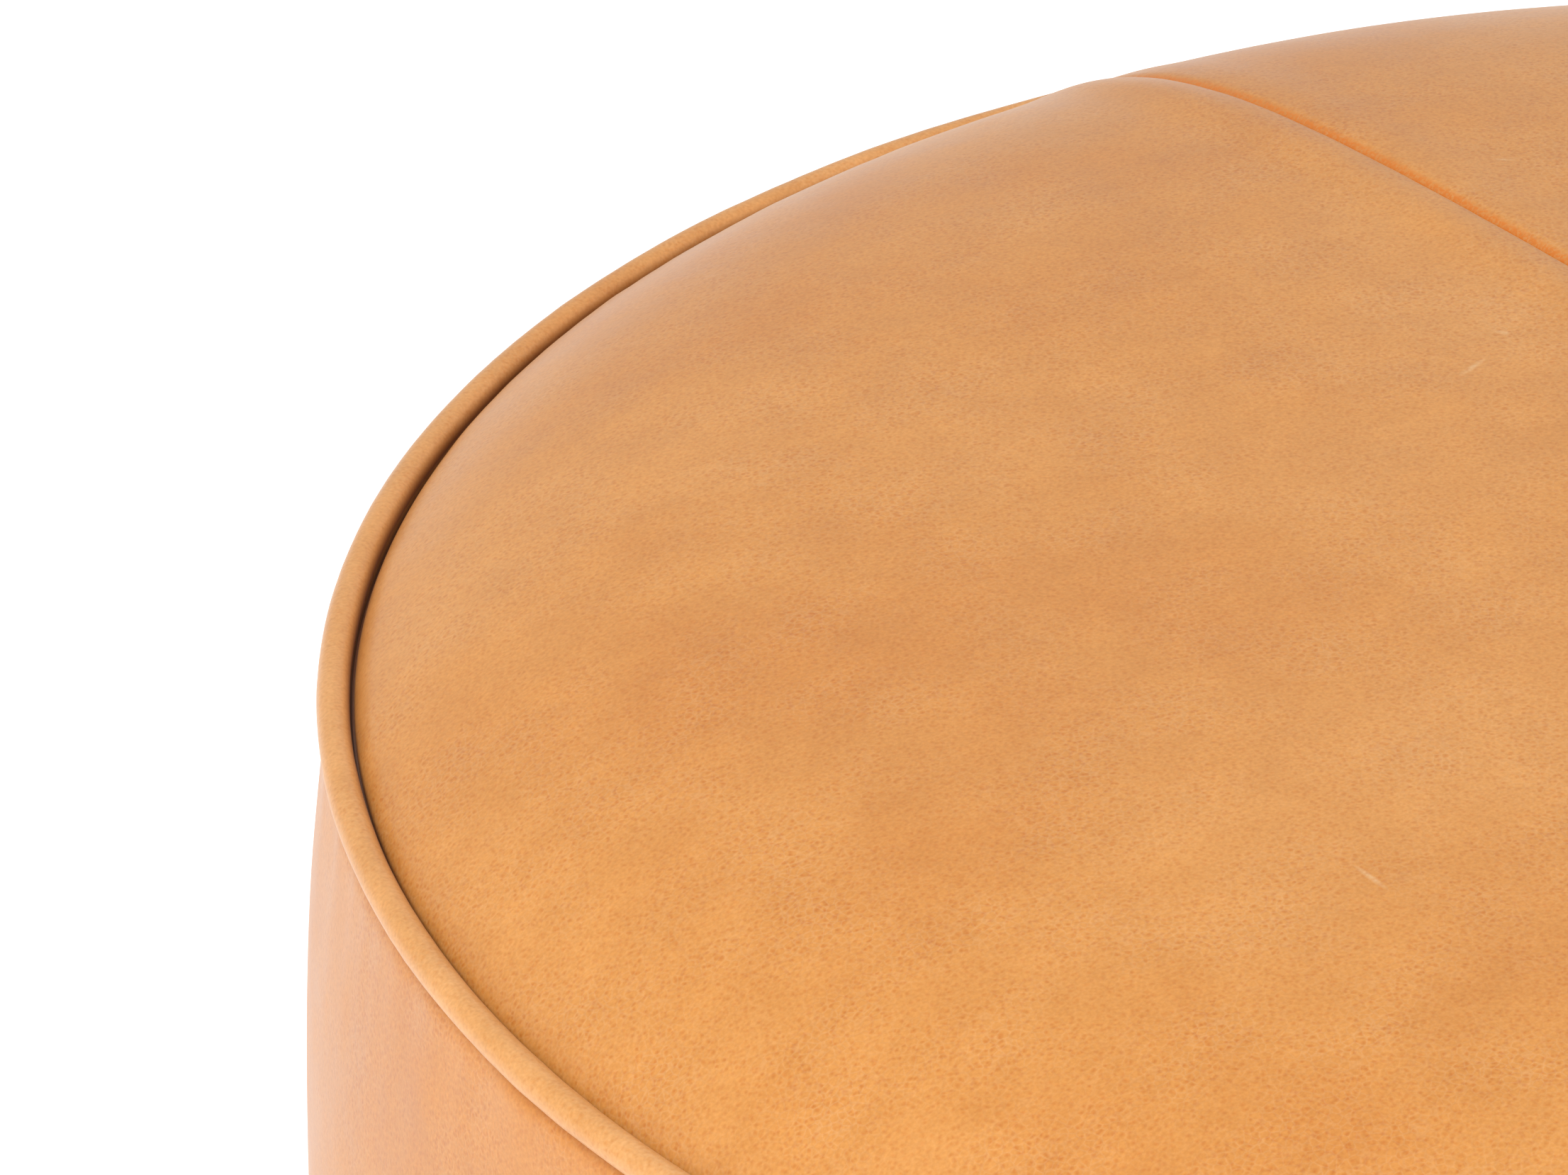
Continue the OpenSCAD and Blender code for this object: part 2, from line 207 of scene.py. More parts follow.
def scars(tree, place, count, seed, longest):
    """A mask of small soft ellipses strewn over the crown, broken up by fine noise."""
    draw = random.Random(seed)
    total = 0.0
    for _ in range(count):
        distance = CROWN_R * math.sqrt(draw.uniform(0.02, 0.85))
        bearing = draw.uniform(0, 2 * math.pi)
        half_length = longest * draw.uniform(0.3, 1)
        half_width = draw.uniform(0.5, 1.2) * MM
        spot = add_node(tree, "ShaderNodeMapping", vector_type="TEXTURE", inputs={
            "Vector": place,
            "Location": (distance * math.cos(bearing), distance * math.sin(bearing), TOP_Z + 30 * MM),
            "Rotation": (0, 0, draw.uniform(0, math.pi)),
            "Scale": (half_length, half_width, 45 * MM)})
        ball = add_node(tree, "ShaderNodeTexGradient", gradient_type="SPHERICAL",
                        inputs={"Vector": spot.outputs["Vector"]})
        total = add_node(tree, "ShaderNodeMath", operation="MAXIMUM",
                         inputs={0: total, 1: ball.outputs["Fac"]}).outputs[0]
    breakup = add_node(tree, "ShaderNodeTexNoise",
                       inputs={"Vector": place, "Scale": 1 / (0.8 * MM), "Detail": 1})
    strength = add_node(tree, "ShaderNodeMapRange", inputs={
        "Value": breakup.outputs["Fac"], "From Min": 0.3, "From Max": 0.6, "To Min": 0.35, "To Max": 1})
    return add_node(tree, "ShaderNodeMapRange", inputs={
        "Value": total, "From Min": 0.05, "From Max": 0.7, "To Min": 0,
        "To Max": strength.outputs["Result"]}).outputs["Result"]


def leather(name, light, mid, deep, grain=1.0, roughness=0.46, crown=False):
    """Vegetable-tanned goat leather, drum-dyed and waxed: a soft pebble of pores about
    1.3 mm apart, slow drifts of colour across the hide, and a low, even shine."""
    material, tree, shader = new_material(name)
    place = add_node(tree, "ShaderNodeTexCoord").outputs["Object"]

    # The hide's slow drifts, 90 mm across, and its cloudiness, 16 mm across
    drift = add_node(tree, "ShaderNodeTexNoise",
                     inputs={"Vector": place, "Scale": 1 / 0.09, "Detail": 4, "Roughness": 0.6})
    cloud = add_node(tree, "ShaderNodeTexNoise",
                     inputs={"Vector": place, "Scale": 1 / 0.016, "Detail": 5, "Roughness": 0.65})
    dye = add_node(tree, "ShaderNodeValToRGB", {"Fac": drift.outputs["Fac"]},
                   stops=[(0.32, linear(deep)), (0.5, linear(mid)), (0.7, linear(light))])
    cloudy = add_node(tree, "ShaderNodeValToRGB", {"Fac": cloud.outputs["Fac"]},
                      stops=[(0.3, (0.93, 0.90, 0.84, 1)), (0.7, (1.06, 1.08, 1.14, 1))])
    colour = add_node(tree, "ShaderNodeMix", data_type="RGBA", blend_type="MULTIPLY", inputs={
        FACTOR: 0.8, COLOUR_A: dye.outputs["Color"], COLOUR_B: cloudy.outputs["Color"]}).outputs[MIXED]

    # Grain: little pebbles, deeper in the middle, with paler wax lying in the creases round them
    wobble = add_node(tree, "ShaderNodeTexNoise",
                      inputs={"Vector": place, "Scale": 1 / 0.003, "Detail": 1})
    shift = add_node(tree, "ShaderNodeVectorMath", operation="SCALE",
                     inputs={0: wobble.outputs["Color"], "Scale": 0.0012})
    bent = add_node(tree, "ShaderNodeVectorMath", operation="ADD",
                    inputs={0: place, 1: shift.outputs[0]}).outputs[0]
    cells = add_node(tree, "ShaderNodeTexVoronoi", feature="SMOOTH_F1", inputs={
        "Vector": bent, "Scale": 1 / 0.00125, "Smoothness": 0.3, "Randomness": 1})
    edges = add_node(tree, "ShaderNodeTexVoronoi", feature="DISTANCE_TO_EDGE",
                     inputs={"Vector": bent, "Scale": 1 / 0.0016, "Randomness": 1})
    patch = add_node(tree, "ShaderNodeTexNoise", inputs={"Vector": place, "Scale": 1 / 0.02, "Detail": 3})
    pore_depth = add_node(tree, "ShaderNodeMapRange", inputs={
        "Value": patch.outputs["Fac"], "From Min": 0.35, "From Max": 0.65, "To Min": 0.6, "To Max": 1})
    pore = add_node(tree, "ShaderNodeMapRange", inputs={
        "Value": cells.outputs["Distance"], "From Min": 0.05, "From Max": 0.5,
        "To Min": pore_depth.outputs["Result"], "To Max": 0}).outputs["Result"]
    crease_depth = add_node(tree, "ShaderNodeMapRange", inputs={
        "Value": patch.outputs["Fac"], "From Min": 0.38, "From Max": 0.66, "To Min": 0.25, "To Max": 1})
    crease = add_node(tree, "ShaderNodeMapRange", inputs={
        "Value": edges.outputs["Distance"], "From Min": 0, "From Max": 0.14,
        "To Min": crease_depth.outputs["Result"], "To Max": 0}).outputs["Result"]
    pore_tint = tuple(1 + grain * (part - 1) for part in (0.87, 0.68, 0.42)) + (1,)
    wax_tint = tuple(0.5 * grain * part for part in (0.10, 0.11, 0.08)) + (1,)
    colour = add_node(tree, "ShaderNodeMix", data_type="RGBA", blend_type="MULTIPLY",
                      inputs={FACTOR: pore, COLOUR_A: colour, COLOUR_B: pore_tint}).outputs[MIXED]
    colour = add_node(tree, "ShaderNodeMix", data_type="RGBA", blend_type="SCREEN",
                      inputs={FACTOR: crease, COLOUR_A: colour, COLOUR_B: wax_tint}).outputs[MIXED]

    # Fine fibre between the pores
    fibre = add_node(tree, "ShaderNodeTexNoise",
                     inputs={"Vector": place, "Scale": 1 / 0.0007, "Detail": 2}).outputs["Fac"]
    fibre_tint = add_node(tree, "ShaderNodeValToRGB", {"Fac": fibre},
                          stops=[(0.3, (0.92, 0.89, 0.84, 1)), (0.7, (1.07, 1.09, 1.14, 1))])
    colour = add_node(tree, "ShaderNodeMix", data_type="RGBA", blend_type="MULTIPLY", inputs={
        FACTOR: 0.9, COLOUR_A: colour, COLOUR_B: fibre_tint.outputs["Color"]}).outputs[MIXED]

    # Painted shade: the leather is darkened to a deep brown in the narrow groove between the panel and the
    # welt, where the gap shades it
    flat = add_node(tree, "ShaderNodeVectorMath", operation="MULTIPLY", inputs={0: place, 1: (1, 1, 0)})
    radius = add_node(tree, "ShaderNodeVectorMath", operation="LENGTH",
                      inputs={0: flat.outputs[0]}).outputs["Value"]
    inner_fade = add_node(tree, "ShaderNodeMapRange", inputs={
        "Value": radius, "From Min": CROWN_R - 1.1 * MM, "From Max": CROWN_R - 0.5 * MM,
        "To Min": 0, "To Max": 1})
    groove_shade_band = add_node(tree, "ShaderNodeMapRange", inputs={
        "Value": radius, "From Min": CROWN_R, "From Max": CROWN_R + 1.5 * MM,
        "To Min": inner_fade.outputs["Result"], "To Max": 0})
    softened_groove_shade = add_node(tree, "ShaderNodeMath", operation="POWER",
                                inputs={0: groove_shade_band.outputs["Result"], 1: 2})
    painted_groove_shade = add_node(tree, "ShaderNodeMath", operation="MULTIPLY",
                      inputs={0: softened_groove_shade.outputs[0], 1: 0.9})
    # Painted groove shade: the dark brown is mixed into the colour close to the groove
    colour = add_node(tree, "ShaderNodeMix", data_type="RGBA", inputs={
        FACTOR: painted_groove_shade.outputs[0], COLOUR_A: colour, COLOUR_B: linear("#5a2a10")}).outputs[MIXED]

    if crown:
        colour = worn_crown_and_seam_light(tree, place, fibre, colour)
    tree.links.new(colour, shader.inputs["Base Color"])

    rough = add_node(tree, "ShaderNodeMapRange", inputs={
        "Value": cloud.outputs["Fac"], "From Min": 0.3, "From Max": 0.7,
        "To Min": roughness - 0.05, "To Max": roughness + 0.06})
    tree.links.new(rough.outputs["Result"], shader.inputs["Roughness"])
    # Height: the fibre stands up, and the pores and the creases go down
    height = add_node(tree, "ShaderNodeMath", operation="MULTIPLY", inputs={0: fibre, 1: 0.4}).outputs[0]
    for dip, depth in ((pore, 0.5), (crease, 0.3)):
        height = add_node(tree, "ShaderNodeMath", operation="MULTIPLY_ADD",
                          inputs={0: dip, 1: -depth, 2: height}).outputs[0]
    bump = add_node(tree, "ShaderNodeBump",
                    inputs={"Height": height, "Strength": 0.32 * grain, "Distance": 0.00012})
    tree.links.new(bump.outputs["Normal"], shader.inputs["Normal"])
    shader.inputs["IOR"].default_value = 1.4
    shader.inputs["Coat Weight"].default_value = 0.4
    shader.inputs["Coat IOR"].default_value = 1.4
    shader.inputs["Coat Roughness"].default_value = 0.3
    shader.inputs["Sheen Weight"].default_value = 0.04
    shader.inputs["Sheen Roughness"].default_value = 0.3
    return material


def worn_crown_and_seam_light(tree, place, fibre, colour):
    """The crown's own wear, and painted light at its seam: healed scratches show pale, and fresh
    ones show the raw orange under the finish. At the seam, the right half's fold gets a painted orange
    band for light bounced inside the seam, and the left half's fold a painted pale sheen."""
    for count, seed, longest, strength, tint in ((14, 11, 6 * MM, 0.4, "#f0cf9f"),
                                                 (7, 5, 2 * MM, 0.7, "#b4571c")):
        factor = add_node(tree, "ShaderNodeMath", operation="MULTIPLY",
                          inputs={0: scars(tree, place, count, seed, longest), 1: strength})
        colour = add_node(tree, "ShaderNodeMix", data_type="RGBA", inputs={
            FACTOR: factor.outputs[0], COLOUR_A: colour, COLOUR_B: linear(tint)}).outputs[MIXED]
    across = add_node(tree, "ShaderNodeSeparateXYZ", {"Vector": place}).outputs["X"]
    ragged = add_node(tree, "ShaderNodeMapRange", inputs={
        "Value": fibre, "From Min": 0.4, "From Max": 0.56, "To Min": 0.2, "To Max": 1}).outputs["Result"]
    # Each fold's painted light band (bounced orange light, then pale sheen): where its band starts and
    #     is full, where it starts to fade and has gone, its greatest strength, and its colour
    for start, full, fade, end, strength, tint in (
            (0, 0.2, 1.1, 2.1, ragged, "#d67b22"),
            (-2.2, -1.2, -1.2, -0.3, 0.5, "#e2c09a")):
        rise = add_node(tree, "ShaderNodeMapRange", inputs={
            "Value": across, "From Min": start * MM, "From Max": full * MM, "To Min": 0, "To Max": strength})
        seam_light_band = add_node(tree, "ShaderNodeMapRange", inputs={
            "Value": across, "From Min": fade * MM, "From Max": end * MM,
            "To Min": rise.outputs["Result"], "To Max": 0})
        colour = add_node(tree, "ShaderNodeMix", data_type="RGBA", inputs={
            FACTOR: seam_light_band.outputs["Result"], COLOUR_A: colour, COLOUR_B: linear(tint)}).outputs[MIXED]
    return colour


def woven(name, colour, pitch, roughness=0.85):
    """A plain-woven cloth: threads over and under, pitch apart."""
    material, tree, shader = new_material(name)
    place = add_node(tree, "ShaderNodeTexCoord").outputs["Object"]
    waves = [add_node(tree, "ShaderNodeTexWave", bands_direction=direction, inputs={
        "Vector": place, "Scale": 0.31 / pitch, "Distortion": 0.6, "Detail": 2, "Detail Scale": 2})
        for direction in ("X", "Y")]
    weave = add_node(tree, "ShaderNodeMath", operation="MULTIPLY", inputs={
        0: waves[0].outputs["Fac"], 1: waves[1].outputs["Fac"]}).outputs[0]
    tone = add_node(tree, "ShaderNodeMix", data_type="RGBA", inputs={
        FACTOR: weave, COLOUR_A: darker(colour, 0.62), COLOUR_B: linear(colour)})
    tree.links.new(tone.outputs[MIXED], shader.inputs["Base Color"])
    bump = add_node(tree, "ShaderNodeBump",
                    inputs={"Height": weave, "Strength": 0.5, "Distance": pitch * 0.4})
    tree.links.new(bump.outputs["Normal"], shader.inputs["Normal"])
    shader.inputs["Roughness"].default_value = roughness
    return material


def fluffy(name, colour, lump):
    """Wadding or cut foam: a matt, open surface of soft lumps."""
    material, tree, shader = new_material(name)
    place = add_node(tree, "ShaderNodeTexCoord").outputs["Object"]
    lumps = add_node(tree, "ShaderNodeTexNoise", inputs={
        "Vector": place, "Scale": 1 / lump, "Detail": 5, "Roughness": 0.7}).outputs["Fac"]
    tone = add_node(tree, "ShaderNodeMix", data_type="RGBA", inputs={
        FACTOR: lumps, COLOUR_A: darker(colour, 0.8), COLOUR_B: linear(colour)})
    tree.links.new(tone.outputs[MIXED], shader.inputs["Base Color"])
    bump = add_node(tree, "ShaderNodeBump",
                    inputs={"Height": lumps, "Strength": 0.6, "Distance": lump * 0.3})
    tree.links.new(bump.outputs["Normal"], shader.inputs["Normal"])
    shader.inputs["Roughness"].default_value = 0.95
    return material


def antique_brass(name):
    """Die-cast brass, tumbled and darkened: warm, half dull, paler where it is rubbed."""
    material, tree, shader = new_material(name)
    place = add_node(tree, "ShaderNodeTexCoord").outputs["Object"]
    stain = add_node(tree, "ShaderNodeTexNoise", inputs={
        "Vector": place, "Scale": 1 / 0.004, "Detail": 4, "Roughness": 0.65}).outputs["Fac"]
    tone = add_node(tree, "ShaderNodeValToRGB", {"Fac": stain},
                    stops=[(0.35, linear("#8d6f3c")), (0.7, linear("#c9a765"))])
    rough = add_node(tree, "ShaderNodeMapRange", inputs={
        "Value": stain, "From Min": 0.3, "From Max": 0.7, "To Min": 0.42, "To Max": 0.28})
    tree.links.new(tone.outputs["Color"], shader.inputs["Base Color"])
    tree.links.new(rough.outputs["Result"], shader.inputs["Roughness"])
    shader.inputs["Metallic"].default_value = 1
    return material


def spun_thread(name, colour):
    """Waxed sewing thread: plies twisted round each other, 0.5 mm a turn."""
    material, tree, shader = new_material(name)
    place = add_node(tree, "ShaderNodeTexCoord").outputs["Object"]
    twist = add_node(tree, "ShaderNodeTexWave", bands_direction="DIAGONAL", inputs={
        "Vector": place, "Scale": 0.31 / 0.0005, "Distortion": 0.4}).outputs["Fac"]
    tone = add_node(tree, "ShaderNodeMix", data_type="RGBA", inputs={
        FACTOR: twist, COLOUR_A: darker(colour, 0.6), COLOUR_B: linear(colour)})
    tree.links.new(tone.outputs[MIXED], shader.inputs["Base Color"])
    bump = add_node(tree, "ShaderNodeBump", inputs={"Height": twist, "Strength": 0.4, "Distance": 0.0001})
    tree.links.new(bump.outputs["Normal"], shader.inputs["Normal"])
    shader.inputs["Roughness"].default_value = 0.6
    return material


def nylon_coil(name, colour):
    """Extruded nylon monofilament, dyed through: smooth, with a slight gloss."""
    material, tree, shader = new_material(name)
    place = add_node(tree, "ShaderNodeTexCoord").outputs["Object"]
    dye = add_node(tree, "ShaderNodeTexNoise", inputs={"Vector": place, "Scale": 1 / 0.003, "Detail": 2})
    tone = add_node(tree, "ShaderNodeMix", data_type="RGBA", inputs={
        FACTOR: dye.outputs["Fac"], COLOUR_A: darker(colour, 0.8), COLOUR_B: linear(colour)})
    tree.links.new(tone.outputs[MIXED], shader.inputs["Base Color"])
    shader.inputs["Roughness"].default_value = 0.35
    return material


TOP_LEATHER = leather("tan_leather_top", "#db974d", "#d79145", "#d2893d", crown=True)
SIDE_LEATHER = leather("tan_leather_side", "#d48d41", "#ce863a", "#c87d32")
# Painted sheen: the welt's colours are paler than the panels', standing in for the shine along its rounded
# top
WELT_LEATHER = leather("tan_leather_welt", "#e2a463", "#dd9d59", "#d5914c", grain=0.6)
BASE_LEATHER = leather("tan_leather_base", "#c4854a", "#b97c40", "#ab6f38", roughness=0.55)
THREAD = spun_thread("waxed_thread", "#b8733c")
CORD = woven("twisted_cotton_cord", "#e4dbc4", 0.0012)
TWILL = woven("cotton_seam_tape", "#a98b62", 0.0008)
ZIP_TAPE = woven("polyester_zip_tape", "#6d4a2c", 0.0006)
COIL = nylon_coil("nylon_zip_coil", "#6a482b")
BRASS = antique_brass("antique_brass")
CALICO = woven("unbleached_calico", "#e8dfc9", 0.001)
WADDING = fluffy("polyester_wadding", "#f3f3ee", 0.006)
FOAM = fluffy("cut_foam", "#ecdfae", 0.002)

for node, material in {
        "top_seam_stitches": THREAD, "top_seam_tape": TWILL, "top_welt_cord": CORD,
        "top_rim_stitches": THREAD, "side_seam_stitches": THREAD, "bottom_welt_cord": CORD,
        "bottom_rim_stitches": THREAD,
        "base_seam_stitches": THREAD, "zip_tape_left": ZIP_TAPE, "zip_tape_right": ZIP_TAPE,
        "zip_coil_left": COIL, "zip_coil_right": COIL, "zip_top_stops": BRASS, "zip_bottom_stop": BRASS,
        "zip_stitches_left": THREAD, "zip_stitches_right": THREAD, "zip_slider": BRASS,
        "zip_pull_pin": BRASS, "zip_pull": BRASS,
        "liner_top": CALICO, "liner_side": CALICO, "liner_base": CALICO,
        "wadding_wrap": WADDING, "crown_foam": FOAM, "core_foam": FOAM,
        "base_panel_left": BASE_LEATHER, "base_panel_right": BASE_LEATHER,
        "side_panel_1": SIDE_LEATHER, "side_panel_2": SIDE_LEATHER, "side_panel_3": SIDE_LEATHER,
        "top_welt_cover": WELT_LEATHER, "bottom_welt_cover": WELT_LEATHER,
        "top_panel_left": TOP_LEATHER, "top_panel_right": TOP_LEATHER}.items():
    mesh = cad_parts[node].data
    mesh.materials.clear()
    mesh.materials.append(material)


# ---- The leather's shape ----

def crown_height(r):
    """Height of the crown's outer face at radius r."""
    x = min(r / CROWN_R, 1.0)
    return TOP_Z + CROWN_START + CROWN_DOME * (1 - x ** 2) + CROWN_SHOULDER * (1 - x ** CROWN_POWER)


def base_height(x, y):
    """Height of the base's outer face, with the recess that holds the zip off the floor."""
    r = math.hypot(x, y)
    curl = 0 if r < BASE_FLAT_R else (BOTTOM_Z - 1.8 * MM) * (r / BASE_EDGE_R) ** BASE_POWER
    slope = smoothstep((RECESS_HALF - abs(x)) / (RECESS_HALF - RECESS_SHELF))
    return max(curl, RECESS_RISE * slope)


def band_radius(z):
    """Radius of the side band's outer face at height z."""
    arc = (BAND_H ** 2 / 4 + BAND_BULGE ** 2) / (2 * BAND_BULGE)
    return RIM_R + BAND_BULGE - arc + math.sqrt(arc ** 2 - (z - (TOP_Z + BOTTOM_Z) / 2) ** 2)


def roll_over(d, width, drop):
    """How far an edge has rolled down at distance d from its fold: a quarter ellipse."""
    if d >= width:
        return 0.0
    u = 1 - max(d, 0) / width
    return drop * (1 - math.sqrt(max(1 - u * u, 0)))


def d_loop(inset, seam_x, rim_radius, seam_count, rim_count):
    """Points round a half disc inset from its edges, in order: up its seam side, where
    seam_x(y) is the seam's place, then round the rim back to the start. Further in, the
    seam side runs straight."""
    radius = rim_radius - inset
    keep = max(1 - inset / (60 * MM), 0)
    corner = math.asin(min((seam_x(rim_radius) * keep + inset) / radius, 1))
    top_y = radius * math.cos(corner)
    points = []
    for i in range(seam_count):
        y = top_y * (2 * i / seam_count - 1)
        points.append((seam_x(y) * keep + inset, y))
    for i in range(rim_count):
        turn = corner + (math.pi - 2 * corner) * i / rim_count
        points.append((radius * math.sin(turn), radius * math.cos(turn)))
    return points


def half_disc(name, side, seam_x, rim_radius, height, hidden, seam_hidden):
    """A half-disc leather face as rings that follow its edges. height(x, y, seam_d, rim_d)
    is the face's height; hidden and seam_hidden are the folds past the rim and the seam,
    as (inward, down) steps from the edge. side is 1 for the +X half and -1 for the -X half."""
    seam_count, rim_count = 300, 440
    count = seam_count + rim_count
    # Rings lie close together at the fold, where the leather turns sharply, and spread out inwards
    insets = [0, 0.15, 0.4, 0.8, 1.3, 1.9, 2.6, 3.4, 4.4, 5.6, 7, 8.6, 10.5, 12.6, 15, 17.7, 20.8,
              24.3, 28.2, 32.5, 37.2, 42.3, 47.8, 53.7, 60]
    pole = (rim_radius * 0.43, 0)
    rings = []
    for inset in insets:
        rings.append(d_loop(inset * MM, seam_x, rim_radius, seam_count, rim_count))
    inner = rings[-1]
    steps = 16
    for i in range(1, steps):
        t = i / steps
        rings.append([(x + (pole[0] - x) * t, y + (pole[1] - y) * t) for x, y in inner])
    verts = []
    edge = rings[0]
    for level in range(len(hidden) - 1, -1, -1):
        for i, (x, y) in enumerate(edge):
            r = math.hypot(x, y)
            on_rim = i >= seam_count
            inward, down = hidden[level] if on_rim else seam_hidden[level]
            z = height(x, y, x - seam_x(y), rim_radius - r)
            if on_rim:
                k = 1 - inward / r
                verts.append((side * x * k, y * k, z + down))
            else:
                verts.append((side * (x + inward), y, z + down))
    for ring in rings:
        for x, y in ring:
            verts.append((side * x, y, height(x, y, x - seam_x(y), rim_radius - math.hypot(x, y))))
    ring_total = len(rings) + len(hidden)
    faces = []
    for level in range(ring_total - 1):
        for i in range(count):
            a, b = level * count + i, level * count + (i + 1) % count
            faces.append((a, b, b + count, a + count))
    verts.append((side * pole[0], pole[1], height(*pole, pole[0], rim_radius - pole[0])))
    last = (ring_total - 1) * count
    faces += [(last + i, last + (i + 1) % count, len(verts) - 1) for i in range(count)]
    return mesh_object(name, verts, faces)


def rim_pucker(turn, d, amount, reach):
    """Small gathers where a panel is pulled into the rim seam, fading inwards."""
    fade = math.exp(-max(d, 0) / reach)
    place = (math.cos(turn) * RIM_R, math.sin(turn) * RIM_R, 0)
    return amount * fade * (wander(place, 0.016, 3) + 0.5 * wander(place, 0.007, 9))


def crown_face(side):
    seed = 11.0 if side > 0 else 4.0
    # The left half stands a little prouder along the seam than the right half does
    proud = 0.5 * MM if side > 0 else 1.1 * MM

    def height(x, y, seam_d, rim_d):
        r = math.hypot(x, y)
        place = (side * x, y, 0)
        z = crown_height(r)
        z -= roll_over(rim_d, 5 * MM, 3 * MM)
        z -= roll_over(seam_d, 3.2 * MM, 2.2 * MM)
        z += proud * math.exp(-((seam_d - 8 * MM) / (7 * MM)) ** 2) * smoothstep(rim_d / (30 * MM))
        z += rim_pucker(math.atan2(y, side * x), rim_d, 0.35 * MM, 12 * MM) * smoothstep(rim_d / (3 * MM))
        near_seam = math.exp(-seam_d / (6 * MM)) * smoothstep(seam_d / (1.5 * MM))
        z += 0.12 * MM * wander((0, y, seed), 0.009) * near_seam
        z += 0.7 * MM * wander(place, 0.10, seed) * smoothstep(min(rim_d, seam_d) / (40 * MM))
        return z
    return height


def top_panel(side):
    name = "crown_leather_right" if side > 0 else "crown_leather_left"
    hidden = [(0.1 * MM, -0.4 * MM), (1.3 * MM, -1.6 * MM), (3.6 * MM, -3.9 * MM)]
    seam_hidden = [(0, -1 * MM), (0, -2 * MM), (0, -3.5 * MM)]
    piece = half_disc(name, side, lambda y: SEAM_GAP, PANEL_R, crown_face(side), hidden, seam_hidden)
    face_up(piece)
    give_thickness(piece, LEATHER_T)
    node = "top_panel_right" if side > 0 else "top_panel_left"
    return finish_piece(piece, "cover", TOP_LEATHER, "leather_top", node)


def face_up(piece, up=True):
    """Turns a sheet's faces so that its middle looks up, or down."""
    mesh = piece.data
    middle = mesh.polygons[len(mesh.polygons) - 1]
    if (middle.normal.z > 0) != up:
        mesh.flip_normals()


top_panel(-1)
top_panel(1)


# ---- Welts ----

def welt(name, z, up, node):
    """A strip of leather wrapped over its cord, its edges held together in the rim seam."""
    around, lap = 1440, math.radians(65)
    flange_end, half = 8 * MM + WELT_R, 1.2 * MM
    lean = math.radians(225 if up > 0 else 135)
    open_turn = math.asin(half / WELT_R)
    section = [(flange_end, -half)]
    section += [(WELT_R * math.cos(a), WELT_R * math.sin(a)) for a in
                [-open_turn - (2 * math.pi - 2 * open_turn) * i / 22 for i in range(23)]]
    section += [(flange_end, half)]
    count = len(section)
    verts = []
    for i in range(around):
        turn = 2 * math.pi * i / around
        out = (math.cos(turn), math.sin(turn))
        place = (out[0] * RIM_R, out[1] * RIM_R, z)
        swell = 0.97 + 0.035 * wander(place, 0.030, 5) + 0.015 * wander(place, 0.006, 2)
        # The strip's end laps over its start, and steps down past the lap
        past = ((turn - lap) % (2 * math.pi)) * RIM_R
        swell += 0.07 * (1 - smoothstep(past / (14 * MM))) * smoothstep(past / (0.7 * MM))
        sway = 0.25 * MM * wander(place, 0.045, 8)
        for j, (u, v) in enumerate(section):
            on_tube = 0 < j < count - 1
            k = swell if on_tube else 1
            dr = (u * math.cos(lean) - v * math.sin(lean)) * k
            dz = (u * math.sin(lean) + v * math.cos(lean)) * k
            r = RIM_R + dr
            verts.append((out[0] * r, out[1] * r, z + dz + (sway if on_tube else 0)))
    faces = []
    for i in range(around):
        for j in range(count):
            a, b = i * count + j, i * count + (j + 1) % count
            c, d = ((i + 1) % around) * count + (j + 1) % count, ((i + 1) % around) * count + j
            faces.append((a, b, c, d))
    piece = mesh_object(name, verts, faces)
    face_outwards(piece)
    return finish_piece(piece, "cover", WELT_LEATHER, "leather_welt", node)


welt("top_welt", TOP_Z, 1, "top_welt_cover")
welt("bottom_welt", BOTTOM_Z, -1, "bottom_welt_cover")


# ---- Side band ----

